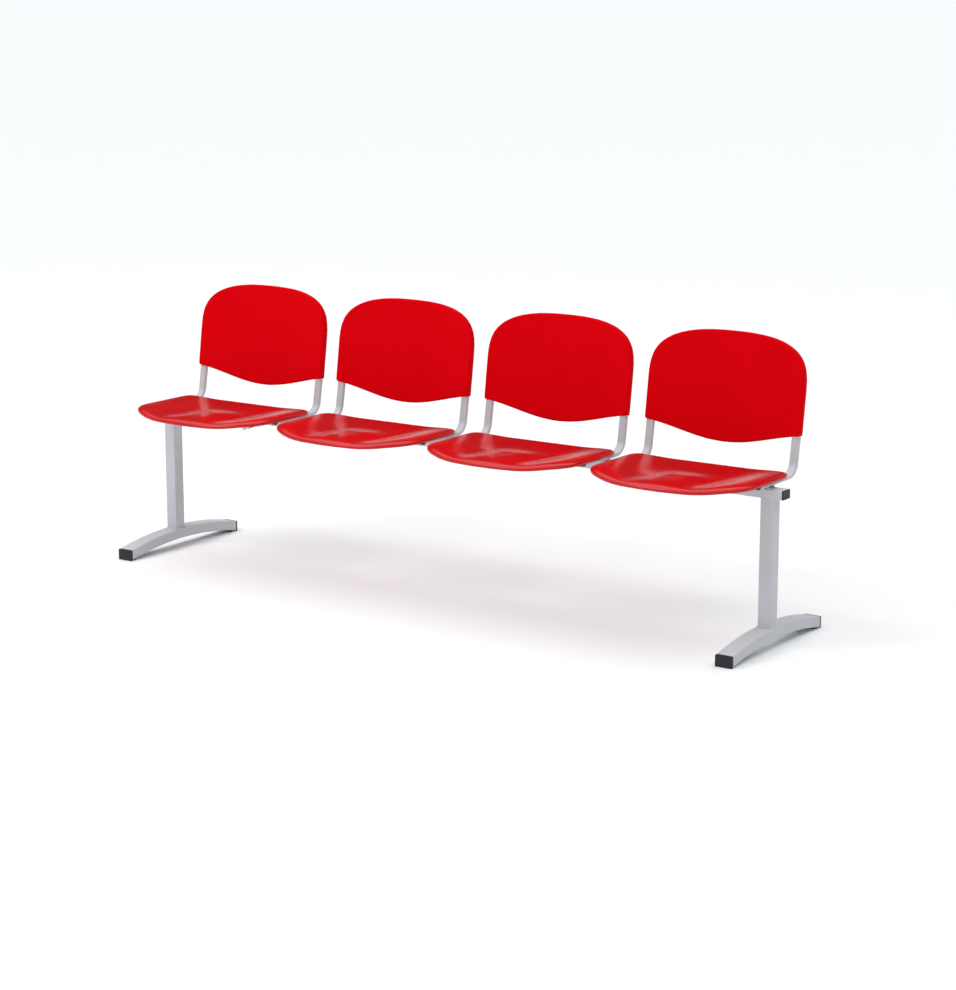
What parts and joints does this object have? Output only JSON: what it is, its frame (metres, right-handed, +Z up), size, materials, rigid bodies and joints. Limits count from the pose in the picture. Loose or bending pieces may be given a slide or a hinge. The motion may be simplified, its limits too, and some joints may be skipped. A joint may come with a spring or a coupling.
{
  "type": "beam seating",
  "caption": "Beam seating: dished plastic seats and curved plastic backs on oval tube frames, fixed along one rectangular beam, which two posts with short heads and arched feet carry.",
  "frame": {"origin": "on the floor, under the middle of the bench's bounding box", "axes": "+X along the beam towards the seat numbered last, +Y towards the backs, +Z up"},
  "size_m": [2.118, 0.49, 0.79],
  "materials": {
    "seat_red": "moulded plastic, soft gloss",
    "back_red": "moulded plastic, fine matt grain",
    "frame_silver": "silver-grey powder coat",
    "cap_black": "matt",
    "fastener_steel": "zinc plated"
  },
  "bodies": {
    "root": {"beam": "frame_silver", "rail_plugs": "cap_black", "leg_head_left": "frame_silver", "head_cap_left": "cap_black", "post_left": "frame_silver", "post_nut_plate_left": "fastener_steel", "leg_bolts_left": "fastener_steel", "foot_left": "frame_silver", "foot_cap_front_left": "cap_black", "foot_cap_rear_left": "cap_black", "leg_head_right": "frame_silver", "head_cap_right": "cap_black", "post_right": "frame_silver", "post_nut_plate_right": "fastener_steel", "leg_bolts_right": "fastener_steel", "foot_right": "frame_silver", "foot_cap_front_right": "cap_black", "foot_cap_rear_right": "cap_black", "frame_tube_left_1": "frame_silver", "frame_tube_right_1": "frame_silver", "tube_plugs_1": "cap_black", "cross_bar_1": "frame_silver", "beam_bracket_1": "frame_silver", "bracket_bolts_1": "fastener_steel", "seat_shell_1": "seat_red", "seat_screws_1": "fastener_steel", "back_shell_1": "back_red", "back_screws_1": "fastener_steel", "frame_tube_left_2": "frame_silver", "frame_tube_right_2": "frame_silver", "tube_plugs_2": "cap_black", "cross_bar_2": "frame_silver", "beam_bracket_2": "frame_silver", "bracket_bolts_2": "fastener_steel", "seat_shell_2": "seat_red", "seat_screws_2": "fastener_steel", "back_shell_2": "back_red", "back_screws_2": "fastener_steel", "frame_tube_left_3": "frame_silver", "frame_tube_right_3": "frame_silver", "tube_plugs_3": "cap_black", "cross_bar_3": "frame_silver", "beam_bracket_3": "frame_silver", "bracket_bolts_3": "fastener_steel", "seat_shell_3": "seat_red", "seat_screws_3": "fastener_steel", "back_shell_3": "back_red", "back_screws_3": "fastener_steel", "frame_tube_left_4": "frame_silver", "frame_tube_right_4": "frame_silver", "tube_plugs_4": "cap_black", "cross_bar_4": "frame_silver", "beam_bracket_4": "frame_silver", "bracket_bolts_4": "fastener_steel", "seat_shell_4": "seat_red", "seat_screws_4": "fastener_steel", "back_shell_4": "back_red", "back_screws_4": "fastener_steel"}
  },
  "joints": []
}
